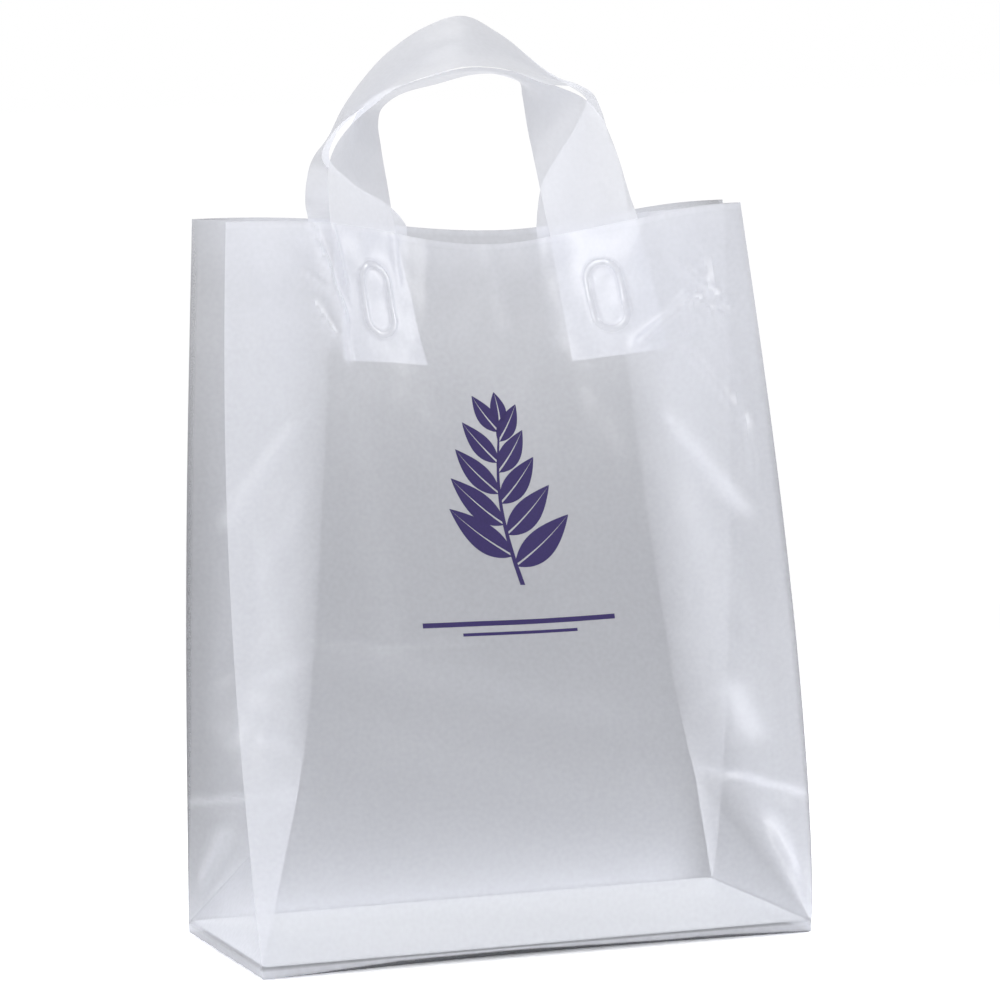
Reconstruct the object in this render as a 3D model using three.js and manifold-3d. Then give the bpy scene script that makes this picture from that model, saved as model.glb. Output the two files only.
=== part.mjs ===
// A frosted plastic carrier bag with side gussets, a square bottom, a white board in the base
// and two flat film handles welded inside the mouth. Millimetres, +Z up, the front faces -Y,
// and the origin is the middle of the flat underside.
import * as THREE from "three";
import { mergeVertices } from "three/addons/utils/BufferGeometryUtils.js";
import Module from "manifold-3d";

const wasm = await Module();
wasm.setup();

// Flat sizes of the film.
const PANEL_WIDTH = 254;
const GUSSET_DEPTH = 127;
const PANEL_HEIGHT = 325;
const FILM_WALL = 0.6;

// How the film stands when the bag is opened out.
const STANDING_SHARE = 0.9865;
const EDGE_SHAPES = {
  frontLeft: { side: -1, face: -1, inset: 4, bulge: 0, depth: 30, sway: 11, closing: 1.9 },
  frontRight: { side: 1, face: -1, inset: 14, bulge: 3.5, depth: 33.5, sway: 0, closing: 1.3 },
  backRight: { side: 1, face: 1, inset: 5, bulge: 3.5, depth: 13, sway: 0, closing: 1.3 },
  backLeft: { side: -1, face: 1, inset: 4, bulge: 0, depth: 28.5, sway: 11, closing: 1.9 },
};
const FRONT_PINCH = { depth: 35, left: [0.12, 0.45], right: [0.13, 0.36], dip: 15.5 };
const BACK_PINCH = { depth: 7, left: [0.05, 0.5], right: [0.05, 0.5], dip: 9.8 };
const PINCH_START = 0.38;
const PINCH_GROWTH = 1.55;
const DIP_WARP = 1.2;
const BELLY = 4;

// The underside and the board that lies in it.
const CREASE_HEIGHT = 5;
const FOOT_INSET_CORNER = 1.5;
const FOOT_INSET_MIDDLE = 10;
const BOARD_THICKNESS = 0.7;
const BOARD_CLEARANCE = 1.8;
const BOARD_CORNER = 3;
const SEAT_GAP = 0.3;
const WELD_CLEARANCE = 0.8;

// The handles, strips of flat film.
const STRIP_WIDTH = 44.5;
const STRIP_WALL = 0.6;
const WELD_DEPTH = 62;
const RING_WIDTH = 19;
const RING_HEIGHT = 36;
const RING_LINE = 3.4;
const RING_RISE = 0.5;
const RING_CENTRE = 33;

// How finely the film is divided.
const PANEL_COLUMNS = 28;
const HALF_GUSSET_COLUMNS = 3;
const FACET_COLUMNS = 6;
const ROWS_BELOW_APEX = 4;
const ROWS_ABOVE_APEX = 13;
const STRIP_COLUMNS = 6;
const STRIP_ROWS = 48;
const PATCH_ROWS = 8;

const HALF_GUSSET = GUSSET_DEPTH / 2;
const UP = new THREE.Vector3(0, 0, 1);
const vec = (x, y, z) => new THREE.Vector3(x, y, z);
const mix = (a, b, t) => a + (b - a) * t;
const mixPoints = (a, b, t) => a.clone().lerp(b, t);
const hump = (t) => (1 - Math.cos(2 * Math.PI * t)) / 2;
const smooth = (t, from, to) => THREE.MathUtils.smoothstep(t, from, to);

// A skin is an open surface whose points are shared, so that neighbouring patches join.
class Skin {
  constructor() {
    this.points = [];
    this.faces = [];
    this.seen = new Map();
  }

  index(point) {
    const key = point.toArray().map((c) => Math.round(c * 1e4)).join();
    if (!this.seen.has(key)) {
      this.seen.set(key, this.points.length);
      this.points.push(point.clone());
    }
    return this.seen.get(key);
  }

  triangle(a, b, c) {
    const [i, j, k] = [a, b, c].map((point) => this.index(point));
    if (i !== j && j !== k && k !== i) this.faces.push([i, j, k]);
  }

  // A grid of rows and columns. It faces along column step x row step, or the other way.
  patch(rows, columns, pointAt, turned = false) {
    for (let i = 0; i < rows; i++)
      for (let j = 0; j < columns; j++) {
        const a = pointAt(i, j);
        const b = pointAt(i, j + 1);
        const c = pointAt(i + 1, j + 1);
        const d = pointAt(i + 1, j);
        if (turned) {
          this.triangle(a, c, b);
          this.triangle(a, d, c);
        } else {
          this.triangle(a, b, c);
          this.triangle(a, c, d);
        }
      }
  }

  // The step from each point that moves every face beside it inwards by the wall.
  insideSteps(wall) {
    const sums = this.points.map(() => ({ m: new Array(9).fill(0), r: vec(0, 0, 0) }));
    for (const face of this.faces) {
      const [p, q, s] = face.map((i) => this.points[i]);
      const normal = new THREE.Triangle(p, q, s).getNormal(vec(0, 0, 0));
      const n = normal.toArray();
      face.forEach((index, corner) => {
        const here = this.points[index];
        const one = this.points[face[(corner + 1) % 3]].clone().sub(here);
        const two = this.points[face[(corner + 2) % 3]].clone().sub(here);
        const weight = one.angleTo(two);
        const sum = sums[index];
        for (let row = 0; row < 3; row++)
          for (let column = 0; column < 3; column++)
            sum.m[3 * row + column] += weight * n[row] * n[column];
        sum.r.addScaledVector(normal, -wall * weight);
      });
    }
    const STEADY = 0.004;
    return sums.map(({ m, r }) => {
      const matrix = new THREE.Matrix3().fromArray(m);
      [0, 4, 8].forEach((i) => (matrix.elements[i] += STEADY));
      return r.applyMatrix3(matrix.invert());
    });
  }

  // The closed film that this skin is the outer face of.
  film(wall) {
    const steps = this.insideSteps(wall);
    const inner = this.points.map((point, i) => point.clone().add(steps[i]));
    const points = [...this.points, ...inner];
    const shift = this.points.length;
    const faces = [...this.faces];
    for (const [a, b, c] of this.faces) faces.push([a + shift, c + shift, b + shift]);
    const edges = new Set(this.faces.flatMap(([a, b, c]) => [`${a},${b}`, `${b},${c}`, `${c},${a}`]));
    for (const edge of edges) {
      const [a, b] = edge.split(",").map(Number);
      if (edges.has(`${b},${a}`)) continue;
      faces.push([b, a, a + shift], [b, a + shift, b + shift]);
    }
    return geometryOf(points, faces);
  }
}

function geometryOf(points, faces) {
  const geometry = new THREE.BufferGeometry();
  const numbers = points.flatMap((point) => point.toArray());
  geometry.setAttribute("position", new THREE.Float32BufferAttribute(numbers, 3));
  geometry.setIndex(faces.flat());
  geometry.computeVertexNormals();
  return geometry;
}

// The bag's four upright edges, each a function of the height along the film above the base
// crease. They start at the corners of the flat base and end at the corners of the mouth.
function edgeLine({ side, face, inset, bulge, depth, sway, closing }) {
  return (film) => {
    const share = film / PANEL_HEIGHT;
    const reach = PANEL_WIDTH / 2 + bulge * Math.sin(Math.PI * share ** 0.6) - inset * share ** 2.2;
    const half = mix(depth, HALF_GUSSET, (1 - share) ** closing);
    const y = face * half + sway * Math.sin(Math.PI * share);
    return vec(side * reach, y, CREASE_HEIGHT + STANDING_SHARE * film);
  };
}

const EDGES = Object.fromEntries(
  Object.entries(EDGE_SHAPES).map(([name, shape]) => [name, edgeLine(shape)]),
);

// A front or back panel: across is 0 at its left edge and 1 at its right, film is the height.
// Towards the mouth the handles pull its middle inwards, and it sags there.
function panelPoint(face, across, film) {
  const [left, right] =
    face < 0 ? [EDGES.frontLeft, EDGES.frontRight] : [EDGES.backLeft, EDGES.backRight];
  const pinch = face < 0 ? FRONT_PINCH : BACK_PINCH;
  const share = film / PANEL_HEIGHT;
  const growth = Math.max(0, (share - PINCH_START) / (1 - PINCH_START)) ** PINCH_GROWTH;
  const walls = smooth(across, ...pinch.left) * smooth(1 - across, ...pinch.right);
  const belly = BELLY * Math.sin(Math.PI * Math.min(1, share * 1.3)) * hump(across);
  const point = mixPoints(left(film), right(film), across);
  point.y -= face * (pinch.depth * growth * walls - belly);
  point.z -= pinch.dip * share ** 3 * hump(across ** DIP_WARP) ** DIP_WARP;
  return point;
}

// A point on a panel's inside, set off from the outer face by a distance along its normal.
function insidePanel(face, across, film, distance) {
  const STEP = 1e-3;
  const here = panelPoint(face, across, film);
  const right = panelPoint(face, across + STEP, film).sub(here);
  const above = panelPoint(face, across, film - STEP * PANEL_HEIGHT).sub(here).negate();
  const inwards = right.cross(above).normalize().multiplyScalar(face);
  return here.addScaledVector(inwards, distance);
}

// One side gusset. Its half panels fold inwards to a crease that every film row reaches at the
// same film distance, and at the base 45 degree creases close it over a triangular facet.
class Gusset {
  constructor(side, first, second) {
    this.side = side;
    this.first = first;
    this.second = second;
    let low = 0;
    let high = HALF_GUSSET / 2;
    for (let i = 0; i < 40; i++) {
      this.drop = (low + high) / 2;
      const slant = this.crease(HALF_GUSSET).distanceTo(first(0));
      if (slant > HALF_GUSSET * Math.SQRT2) low = this.drop;
      else high = this.drop;
    }
    this.apex = this.crease(HALF_GUSSET);
  }

  crease(film) {
    const one = this.first(film);
    const two = this.second(film);
    const half = one.distanceTo(two) / 2;
    const inwards = Math.sqrt(HALF_GUSSET ** 2 - half ** 2 - this.drop ** 2);
    return mixPoints(one, two, 0.5).add(vec(-this.side * inwards, 0, -this.drop));
  }

  // Where a half panel ends: on the diagonal crease below the apex and on the fold above it.
  foldPoint(edge, film) {
    if (film >= HALF_GUSSET) return this.crease(film);
    return mixPoints(edge(0), this.apex, film / HALF_GUSSET);
  }

  addTo(skin, films) {
    const halves = [
      [this.first, (film) => this.foldPoint(this.first, film)],
      [(film) => this.foldPoint(this.second, film), this.second],
    ];
    for (const [from, to] of halves)
      skin.patch(films.length - 1, HALF_GUSSET_COLUMNS, (i, j) =>
        mixPoints(from(films[i]), to(films[i]), j / HALF_GUSSET_COLUMNS),
      );
    skin.patch(ROWS_BELOW_APEX, FACET_COLUMNS, (i, j) => {
      const one = this.foldPoint(this.first, films[i]);
      const two = this.foldPoint(this.second, films[i]);
      return mixPoints(one, two, j / FACET_COLUMNS);
    });
  }
}

// The underside: the film turns in below the crease to a flat face that the bag stands on.
function addUnderside(skin) {
  const corners = [EDGES.frontLeft, EDGES.frontRight, EDGES.backRight, EDGES.backLeft];
  const ring = [];
  corners.forEach((corner, i) => {
    const from = corner(0);
    const to = corners[(i + 1) % 4](0);
    const columns = i % 2 ? FACET_COLUMNS : PANEL_COLUMNS;
    for (let j = 0; j < columns; j++) ring.push({ from, to, t: j / columns });
  });
  const creasePoint = (j) => {
    const { from, to, t } = ring[j % ring.length];
    return mixPoints(from, to, t);
  };
  const footPoint = (j) => {
    const { from, to, t } = ring[j % ring.length];
    const along = to.clone().sub(from).normalize();
    const inwards = UP.clone().cross(along);
    const inset = mix(FOOT_INSET_CORNER, FOOT_INSET_MIDDLE, Math.sin(Math.PI * t));
    const point = creasePoint(j).addScaledVector(inwards, inset);
    return point.addScaledVector(along, FOOT_INSET_CORNER * (1 - 2 * t)).setZ(0);
  };
  skin.patch(1, ring.length, (i, j) => (i ? creasePoint(j) : footPoint(j)));
  const middle = vec(0, 0, 0);
  for (let j = 0; j < ring.length; j++) skin.triangle(middle, footPoint(j + 1), footPoint(j));
}

function bagBody() {
  const films = [];
  for (let i = 0; i <= ROWS_BELOW_APEX; i++) films.push((HALF_GUSSET * i) / ROWS_BELOW_APEX);
  for (let i = 1; i <= ROWS_ABOVE_APEX; i++)
    films.push(mix(HALF_GUSSET, PANEL_HEIGHT, i / ROWS_ABOVE_APEX));
  const skin = new Skin();
  skin.patch(films.length - 1, PANEL_COLUMNS, (i, j) => panelPoint(-1, j / PANEL_COLUMNS, films[i]));
  new Gusset(1, EDGES.frontRight, EDGES.backRight).addTo(skin, films);
  skin.patch(films.length - 1, PANEL_COLUMNS, (i, j) => panelPoint(1, 1 - j / PANEL_COLUMNS, films[i]));
  new Gusset(-1, EDGES.backLeft, EDGES.frontLeft).addTo(skin, films);
  addUnderside(skin);
  return skin.film(FILM_WALL);
}

// The white board rests on the turned-in film just above the base crease.
function baseBoard() {
  const halfLength = PANEL_WIDTH / 2 - BOARD_CLEARANCE;
  const halfDepth = GUSSET_DEPTH / 2 - BOARD_CLEARANCE;
  const outline = new THREE.Shape();
  const quarter = Math.PI / 2;
  [[1, 1], [-1, 1], [-1, -1], [1, -1]].forEach(([sx, sy], i) => {
    const x = sx * (halfLength - BOARD_CORNER);
    const y = sy * (halfDepth - BOARD_CORNER);
    outline.absarc(x, y, BOARD_CORNER, i * quarter, (i + 1) * quarter, false);
  });
  const geometry = new THREE.ExtrudeGeometry(outline, {
    depth: BOARD_THICKNESS,
    bevelEnabled: false,
    curveSegments: 4,
  });
  return geometry.translate(0, 0, CREASE_HEIGHT + SEAT_GAP);
}

// A handle's course over its loop. across runs from 0 to 1 between the two legs, back is the
// distance behind the middle of the mouth, up the share of the rise above the mouth, turn and
// tip the plan angle and the slope of the strip's width, and cup how far the strip is curled.
const FRONT_LOOP = {
  face: -1,
  legs: [
    { share: 0.286, sign: 1, tilt: 6 },
    { share: 0.736, sign: -1, tilt: 3 },
  ],
  rise: 66,
  stations: [
    { across: -0.02, back: -10, up: 0.28, turn: 39, tip: 0, cup: 1 },
    { across: -0.01, back: -10, up: 0.45, turn: 46, tip: 0, cup: 2 },
    { across: 0.025, back: -8, up: 0.6, turn: 57, tip: 0, cup: 4 },
    { across: 0.08, back: -5.5, up: 0.7, turn: 66, tip: -1, cup: 6 },
    { across: 0.175, back: -4, up: 0.8, turn: 73, tip: -5, cup: 6 },
    { across: 0.33, back: -3, up: 0.88, turn: 74, tip: -6, cup: 5 },
    { across: 0.51, back: -1, up: 0.93, turn: 75, tip: -5, cup: 4 },
    { across: 0.69, back: -0.5, up: 0.91, turn: 82, tip: -2, cup: 4 },
    { across: 0.805, back: -1.5, up: 0.83, turn: 96, tip: 4, cup: 4 },
    { across: 0.855, back: -5, up: 0.74, turn: 110, tip: 3, cup: 3 },
    { across: 0.893, back: -7, up: 0.61, turn: 120, tip: 1, cup: 3 },
    { across: 0.917, back: -8, up: 0.47, turn: 125, tip: 0, cup: 3 },
    { across: 0.945, back: -9, up: 0.27, turn: 130, tip: 0, cup: 1 },
  ],
};
const BACK_LOOP = {
  face: 1,
  legs: [
    { share: 0.3, sign: 1, tilt: 5 },
    { share: 0.722, sign: -1, tilt: 5 },
  ],
  rise: 75,
  stations: [
    { across: -0.05, back: 18.5, up: 0.06, turn: -38, tip: 0, cup: 10 },
    { across: -0.16, back: 10, up: 0.2, turn: -80, tip: 0, cup: 10 },
    { across: -0.215, back: 1, up: 0.35, turn: -105, tip: 1, cup: 5 },
    { across: -0.17, back: -4, up: 0.48, turn: -110, tip: 3, cup: 2 },
    { across: -0.09, back: -8.5, up: 0.63, turn: -104, tip: -3, cup: 2 },
    { across: -0.01, back: -11, up: 0.74, turn: -99, tip: -9, cup: 2 },
    { across: 0.11, back: -12.5, up: 0.855, turn: -98, tip: -19, cup: 3 },
    { across: 0.24, back: -14, up: 0.95, turn: -103, tip: -28, cup: 2 },
    { across: 0.41, back: -15, up: 1, turn: -107, tip: -31, cup: 2 },
    { across: 0.555, back: -16, up: 0.94, turn: -108, tip: -21, cup: 2 },
    { across: 0.76, back: -14, up: 0.82, turn: -106, tip: -6, cup: 3 },
    { across: 0.9, back: -7.5, up: 0.76, turn: -103, tip: 0, cup: 3 },
    { across: 1.005, back: 3, up: 0.65, turn: -108, tip: 0, cup: 4 },
    { across: 1.045, back: 13, up: 0.48, turn: -125, tip: 0, cup: 6 },
    { across: 1.045, back: 17, up: 0.3, turn: -148, tip: 0, cup: 6 },
    { across: 1.02, back: 16, up: 0.13, turn: -168, tip: 0, cup: 5 },
  ],
};

class Handle {
  constructor(loop) {
    Object.assign(this, loop);
  }

  // A point of a welded leg: aside from its outer edge, deep below the mouth, and off the panel.
  legPoint(leg, aside, deep, off) {
    const lean = deep * Math.tan(THREE.MathUtils.degToRad(leg.tilt));
    const film = PANEL_HEIGHT - deep;
    const stretch = panelPoint(this.face, leg.share + 0.02, film)
      .distanceTo(panelPoint(this.face, leg.share - 0.02, film)) / 0.04;
    const across = leg.share + (leg.sign * (aside - 0.5) * STRIP_WIDTH + lean) / stretch;
    return insidePanel(this.face, across, film, FILM_WALL + WELD_CLEARANCE + off);
  }

  stationPoint({ across, back, up, turn, tip, cup }, aside) {
    const [left, right] = this.legs.map((leg) => this.legPoint(leg, 0.5, 0, 0));
    const mouth = CREASE_HEIGHT + STANDING_SHARE * PANEL_HEIGHT;
    const centre = vec(mix(left.x, right.x, across), back, mouth + up * this.rise);
    const plan = THREE.MathUtils.degToRad(turn);
    const slope = THREE.MathUtils.degToRad(tip);
    const level = vec(Math.cos(plan), Math.sin(plan), 0);
    const along = level.clone().multiplyScalar(Math.cos(slope)).setZ(Math.sin(slope));
    const curl = level.cross(UP).multiplyScalar(-cup);
    const chord = STRIP_WIDTH - (8 / 3) * (cup ** 2 / STRIP_WIDTH);
    const offset = aside - 0.5;
    return centre.addScaledVector(along, offset * chord).addScaledVector(curl, 1 - 4 * offset ** 2);
  }

  // The strip as rows of points from the left weld over the loop to the right weld.
  rows() {
    const columns = [];
    for (let j = 0; j <= STRIP_COLUMNS; j++) {
      const aside = j / STRIP_COLUMNS;
      const weld = (leg, k) => this.legPoint(leg, aside, (WELD_DEPTH * k) / PATCH_ROWS, 0);
      const [left, right] = this.legs;
      const keys = [
        weld(left, 0.6),
        weld(left, 0),
        ...this.stations.map((station) => this.stationPoint(station, aside)),
        weld(right, 0),
        weld(right, 0.6),
      ];
      const curve = new THREE.CatmullRomCurve3(keys, false, "centripetal");
      const first = 1 / (keys.length - 1);
      const free = [];
      for (let i = 0; i <= STRIP_ROWS; i++) free.push(curve.getPoint(mix(first, 1 - first, i / STRIP_ROWS)));
      const below = [];
      for (let k = PATCH_ROWS; k > 0; k--) below.push(weld(left, k));
      const after = [];
      for (let k = 1; k <= PATCH_ROWS; k++) after.push(weld(right, k));
      columns.push([...below, ...free, ...after]);
    }
    return columns[0].map((_, i) => columns.map((column) => column[i]));
  }

  // The raised oval where the strip is fused to the panel.
  ring(leg) {
    const AROUND = 32;
    const SECTION = 8;
    const radius = (RING_WIDTH - RING_LINE) / 2;
    const straight = (RING_HEIGHT - RING_WIDTH) / 2;
    const skin = new Skin();
    const middle = STRIP_WALL / 2 + RING_RISE / 2;
    skin.patch(SECTION, AROUND, (i, j) => {
      const turn = (2 * Math.PI * (j % AROUND)) / AROUND;
      const swing = (2 * Math.PI * (i % SECTION)) / SECTION;
      const reach = radius + (RING_LINE / 2) * Math.cos(swing);
      const off = middle + middle * 0.98 * Math.sin(swing);
      const deep = RING_CENTRE - reach * Math.sin(turn) - straight * Math.sign(Math.round(Math.sin(turn) * 1e6));
      const aside = 0.5 + (reach * Math.cos(turn)) / STRIP_WIDTH;
      return this.legPoint(leg, aside, deep, off);
    });
    return geometryOf(skin.points, skin.faces);
  }

  geometry() {
    const rows = this.rows();
    const skin = new Skin();
    skin.patch(rows.length - 1, STRIP_COLUMNS, (i, j) => rows[i][j], this.face > 0);
    const solids = [skin.film(STRIP_WALL), ...this.legs.map((leg) => this.ring(leg))].map(solidOf);
    const whole = solids.reduce((sum, solid) => sum.add(solid));
    const { numProp, vertProperties, triVerts } = whole.getMesh();
    const geometry = new THREE.BufferGeometry();
    geometry.setAttribute("position", new THREE.BufferAttribute(vertProperties.slice(), numProp));
    geometry.setIndex(new THREE.BufferAttribute(triVerts.slice(), 1));
    geometry.computeVertexNormals();
    return geometry;
  }
}

function solidOf(geometry) {
  const bare = geometry.clone();
  bare.deleteAttribute("normal");
  const merged = mergeVertices(bare, 1e-4);
  const solid = new wasm.Manifold(
    new wasm.Mesh({
      numProp: 3,
      vertProperties: merged.attributes.position.array,
      triVerts: new Uint32Array(merged.index.array),
    }),
  );
  if (solid.volume() >= 0) return solid;
  const index = merged.index.array;
  for (let i = 0; i < index.length; i += 3) [index[i], index[i + 1]] = [index[i + 1], index[i]];
  return solidOf(merged);
}

const frostedFilm = new THREE.MeshStandardMaterial({ color: 0xd9dce4, roughness: 0.42, metalness: 0 });
const handleFilm = new THREE.MeshStandardMaterial({ color: 0xe4e6ec, roughness: 0.38, metalness: 0 });
const whiteBoard = new THREE.MeshStandardMaterial({ color: 0xf1f1ee, roughness: 0.8, metalness: 0 });

const carrierBag = new THREE.Group();
for (const [name, geometry, material] of [
  ["bag_body", bagBody(), frostedFilm],
  ["base_board", baseBoard(), whiteBoard],
  ["front_handle", new Handle(FRONT_LOOP).geometry(), handleFilm],
  ["back_handle", new Handle(BACK_LOOP).geometry(), handleFilm],
]) {
  const mesh = new THREE.Mesh(geometry, material);
  mesh.name = name;
  carrierBag.add(mesh);
}

export default carrierBag;
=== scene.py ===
import logging
import math
from dataclasses import dataclass, field
from enum import Enum
from typing import Any

import bpy
import numpy as np
from mathutils import Matrix

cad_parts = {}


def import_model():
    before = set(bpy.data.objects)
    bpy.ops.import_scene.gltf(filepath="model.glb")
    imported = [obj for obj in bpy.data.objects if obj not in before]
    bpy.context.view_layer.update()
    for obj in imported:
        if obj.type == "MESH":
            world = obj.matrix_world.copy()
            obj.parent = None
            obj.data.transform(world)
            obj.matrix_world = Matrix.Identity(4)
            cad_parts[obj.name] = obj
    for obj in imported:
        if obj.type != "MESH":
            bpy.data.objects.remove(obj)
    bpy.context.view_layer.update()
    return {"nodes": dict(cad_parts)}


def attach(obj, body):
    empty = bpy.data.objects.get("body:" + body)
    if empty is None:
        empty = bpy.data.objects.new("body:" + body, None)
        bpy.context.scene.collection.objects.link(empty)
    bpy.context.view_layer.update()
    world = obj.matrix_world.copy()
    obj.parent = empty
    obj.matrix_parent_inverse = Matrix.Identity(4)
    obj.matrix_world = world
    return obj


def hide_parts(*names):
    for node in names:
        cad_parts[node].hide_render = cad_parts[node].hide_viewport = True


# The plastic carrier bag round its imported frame. Shapes are worked out in millimetres,
# +Z up, the front panel facing -Y, and become metres when they go into a mesh.

LOG = logging.getLogger("carrier_bag")
MM = 0.001

PANEL_WIDTH = 254.0
HALF_GUSSET = 63.5
PANEL_HEIGHT = 325.0
CREASE_HEIGHT = 5.0
STANDING_SHARE = 0.9865
FILM_WALL = 0.6
PAINTED_GLOW_LENGTH = 26.0
ROUGHNESS_DRIFT = 0.06
MELT_GLOSS = 0.65

Array = np.ndarray
Piece = bpy.types.Object
Material = bpy.types.Material


# ---- plain functions on arrays


def mix(start: Array | float, end: Array | float, share: Array | float) -> Array | float:
    """start where share is 0, end where it is 1, straight between."""
    return start + (end - start) * share


def smoothstep(value: Array, low: float, high: float) -> Array:
    """0 below low and 1 above high, with a level start and end between them."""
    t = np.clip((value - low) / (high - low), 0, 1)
    return t * t * (3 - 2 * t)


def hump(share: Array) -> Array:
    """One smooth rise and fall, 0 at 0 and at 1 and 1 halfway: (1 - cos 2 pi share) / 2."""
    return (1 - np.cos(2 * np.pi * share)) / 2


def unit(vectors: Array) -> Array:
    """The vectors along the last axis at length 1."""
    return vectors / np.maximum(np.linalg.norm(vectors, axis=-1, keepdims=True), 1e-12)


def ripples(x: Array, z: Array, seed: int, count: int, shortest: float, longest: float) -> Array:
    """A sum of plane waves of seeded direction, length and phase, about -1 to 1.

    Args:
        x, z: coordinates in millimetres.
        seed: seed of the draws.
        count: number of waves.
        shortest, longest: bounds of the wave lengths in millimetres.

    Returns:
        The waves' sum divided by the root of their number.
    """
    draw = np.random.default_rng(seed)
    turn = draw.uniform(0, 2 * np.pi, count)
    wave = 2 * np.pi / np.exp(draw.uniform(math.log(shortest), math.log(longest), count))
    phase = draw.uniform(0, 2 * np.pi, count)
    x, z = x[..., None], z[..., None]
    along = (x * np.cos(turn) + z * np.sin(turn)) * wave + phase
    return np.sin(along).sum(-1) / math.sqrt(count)


def painted_board_glow(film: Array, gain: float) -> Array:
    """How much denser, so brighter, the film is made towards the white board, as painted glow of
    the light the board bounces up: 1 + gain * exp(-film / 26).
    """
    return 1 + gain * np.exp(-film / PAINTED_GLOW_LENGTH)


def turned(right: Array, up: Array, back: Array, place: Array) -> Matrix:
    """The matrix of a lamp or camera at place that looks the other way from back."""
    turn = np.eye(4)
    turn[:3] = np.stack([right, up, back, np.array(place)], -1)
    return Matrix(turn.tolist())


@dataclass(frozen=True)
class Fold:
    """A soft ridge or valley in the film, straight from one point to another.

    start and end are (across, up) in millimetres, height is its rise towards the outside
    and width the distance at which it has fallen to e^-1 of that.
    """

    start: tuple[float, float]
    end: tuple[float, float]
    height: float
    width: float
    fade: float = 6.0

    def rise(self, x: Array, z: Array) -> Array:
        """height * exp(-(distance from the line / width)^2), tapering past both ends."""
        first, last = np.array(self.start), np.array(self.end)
        span = last - first
        length = float(np.hypot(*span))
        along = ((x - first[0]) * span[0] + (z - first[1]) * span[1]) / length
        aside = ((x - first[0]) * span[1] - (z - first[1]) * span[0]) / length
        past = np.maximum(np.maximum(-along, along - length), 0)
        return self.height * np.exp(-((aside / self.width) ** 2) - (past / self.fade) ** 2)


def folds(*rows: tuple[float, ...]) -> tuple[Fold, ...]:
    """Rows of across and up of both ends, height, width and perhaps fade, as folds."""
    return tuple(Fold(row[:2], row[2:4], *row[4:]) for row in rows)


# ---- meshes


@dataclass
class Grid:
    """A surface on a grid: points (rows, columns, 3) in millimetres, values per point by name."""

    points: Array
    values: dict[str, Array] = field(default_factory=dict)
    flip: bool = False

    def faces(self, offset: int) -> Array:
        """The grid's quads, counted from offset, turned round if flip is set."""
        rows, columns = self.points.shape[:2]
        index = np.arange(rows * columns).reshape(rows, columns) + offset
        quads = [index[:-1, :-1], index[:-1, 1:], index[1:, 1:], index[1:, :-1]]
        quads = np.stack(quads, -1).reshape(-1, 4)
        return quads[:, ::-1] if self.flip else quads


def mesh_object(
    name: str, grids: list[Grid], weld: float = 0.02, sharp: float = 32.0
) -> Piece:
    """One mesh object from several grids, with points that meet merged.

    Args:
        name: the object's name.
        grids: the surfaces; a value that one of them lacks is 0 there.
        weld: distance in millimetres within which points become one.
        sharp: faces that meet at more than this many degrees keep a crease.

    Returns:
        The object, at the origin, with each value as a float attribute of its points.
    """
    points = np.concatenate([g.points.reshape(-1, 3) for g in grids]) * MM
    offsets = np.cumsum([0] + [g.points[..., 0].size for g in grids])
    faces = np.concatenate([g.faces(int(o)) for g, o in zip(grids, offsets)])
    key = np.round(points / (weld * MM)).astype(np.int64)
    _, first, same = np.unique(key, axis=0, return_index=True, return_inverse=True)
    faces = same.reshape(-1)[faces]
    corners = faces != np.roll(faces, 1, axis=1)
    whole = corners.all(axis=1)
    narrow = zip(faces[~whole], corners[~whole])
    loops = faces[whole].tolist()
    loops += [face[keep].tolist() for face, keep in narrow if keep.sum() == 3]
    mesh = bpy.data.meshes.new(name)
    mesh.from_pydata(points[first].tolist(), [], loops)
    for label in sorted({label for g in grids for label in g.values}):
        values = [g.values.get(label, np.zeros(g.points.shape[:2])) for g in grids]
        joined = np.concatenate([value.reshape(-1) for value in values])
        layer = mesh.attributes.new(label, "FLOAT", "POINT")
        layer.data.foreach_set("value", joined[first].astype(np.float32))
    mesh.validate()
    mesh.shade_smooth()
    if sharp < 180:
        mesh.set_sharp_from_angle(angle=math.radians(sharp))
    made = bpy.data.objects.new(name, mesh)
    bpy.context.scene.collection.objects.link(made)
    LOG.info("%s: %d points, %d faces", name, len(mesh.vertices), len(mesh.polygons))
    return made


# ---- shader nodes


class Wire:
    """A socket of one material that takes arithmetic, each operator adding a Math node."""

    def __init__(self, nodes: "Nodes", socket: bpy.types.NodeSocket) -> None:
        """Wraps socket, which belongs to the tree of nodes."""
        self.nodes, self.socket = nodes, socket

    def _math(self, operation: str, *values: Any) -> "Wire":
        """A Math node with this operation on the values."""
        return self.nodes.add("ShaderNodeMath", {"operation": operation}, dict(enumerate(values)))

    def __add__(self, other: Any) -> "Wire":
        """self + other."""
        return self._math("ADD", self, other)

    def __radd__(self, other: Any) -> "Wire":
        """other + self."""
        return self._math("ADD", other, self)

    def __sub__(self, other: Any) -> "Wire":
        """self - other."""
        return self._math("SUBTRACT", self, other)

    def __rsub__(self, other: Any) -> "Wire":
        """other - self."""
        return self._math("SUBTRACT", other, self)

    def __mul__(self, other: Any) -> "Wire":
        """self * other."""
        return self._math("MULTIPLY", self, other)

    def __rmul__(self, other: Any) -> "Wire":
        """other * self."""
        return self._math("MULTIPLY", other, self)

    def ramp(self, low: float, high: float) -> "Wire":
        """0 below low and 1 above high, straight between."""
        span = {1: low, 2: high, 3: 0.0, 4: 1.0}
        return self.nodes.add("ShaderNodeMapRange", {"clamp": True}, {0: self, **span})

    def above(self, limit: float) -> "Wire":
        """1 where the value is more than limit, else 0."""
        return self._math("GREATER_THAN", self, limit)

    def most(self, other: Any) -> "Wire":
        """The larger of the two values."""
        return self._math("MAXIMUM", self, other)


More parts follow.
